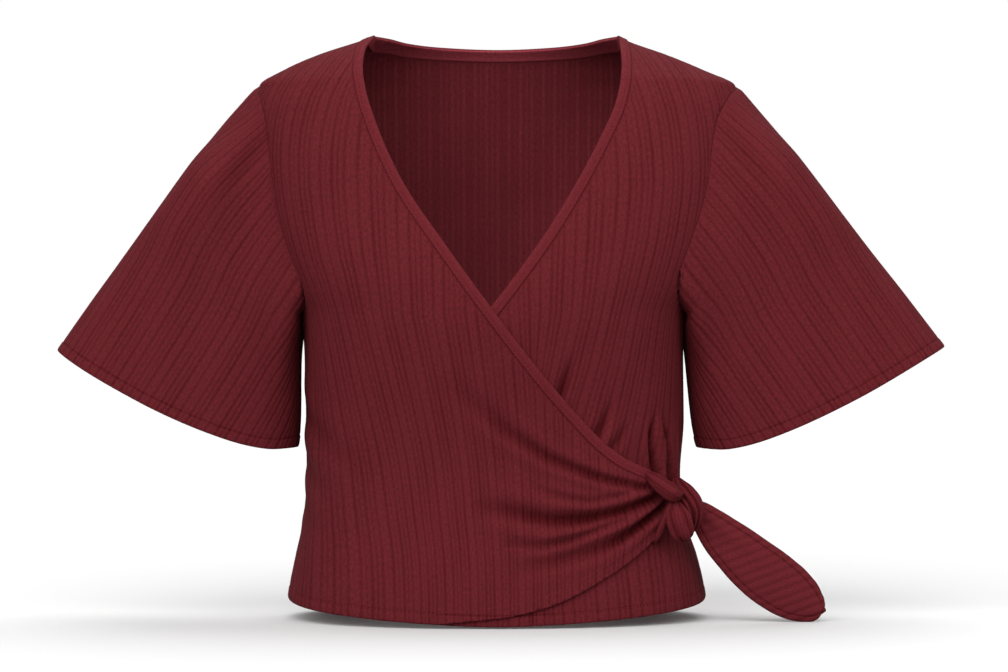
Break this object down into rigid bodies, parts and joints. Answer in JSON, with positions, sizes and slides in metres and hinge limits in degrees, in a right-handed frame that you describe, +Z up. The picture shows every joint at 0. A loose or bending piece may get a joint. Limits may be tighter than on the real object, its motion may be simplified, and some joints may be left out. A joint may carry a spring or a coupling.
{
  "type": "wrap top",
  "caption": "Cropped wrap top in ribbed knit with flared elbow sleeves, a bound V neck and a side tie knotted at the wearer's left waist.",
  "frame": {"origin": "midway between the neck points of the two shoulder seams, where the top hangs on the wearer's shoulders", "axes": "+Z up, the front faces -Y, +X towards the wearer's left, the side of the knot"},
  "size_m": [0.705, 0.2289, 0.4657],
  "materials": {
    "rib_knit": "matt wide-rib jersey, burgundy",
    "binding": "matt folded jersey binding, topstitched, burgundy",
    "tie": "matt wide-rib jersey, gathered and knotted, burgundy"
  },
  "bodies": {
    "root": {"back": "rib_knit", "front_over": "rib_knit", "front_under": "rib_knit", "sleeve_right": "rib_knit", "sleeve_left": "rib_knit", "neck_binding_over": "binding", "neck_binding_back": "binding", "neck_binding_under": "binding", "knot_band": "tie", "knot_loop": "tie", "tie_end_short": "tie", "tie_tail": "tie"}
  },
  "joints": []
}
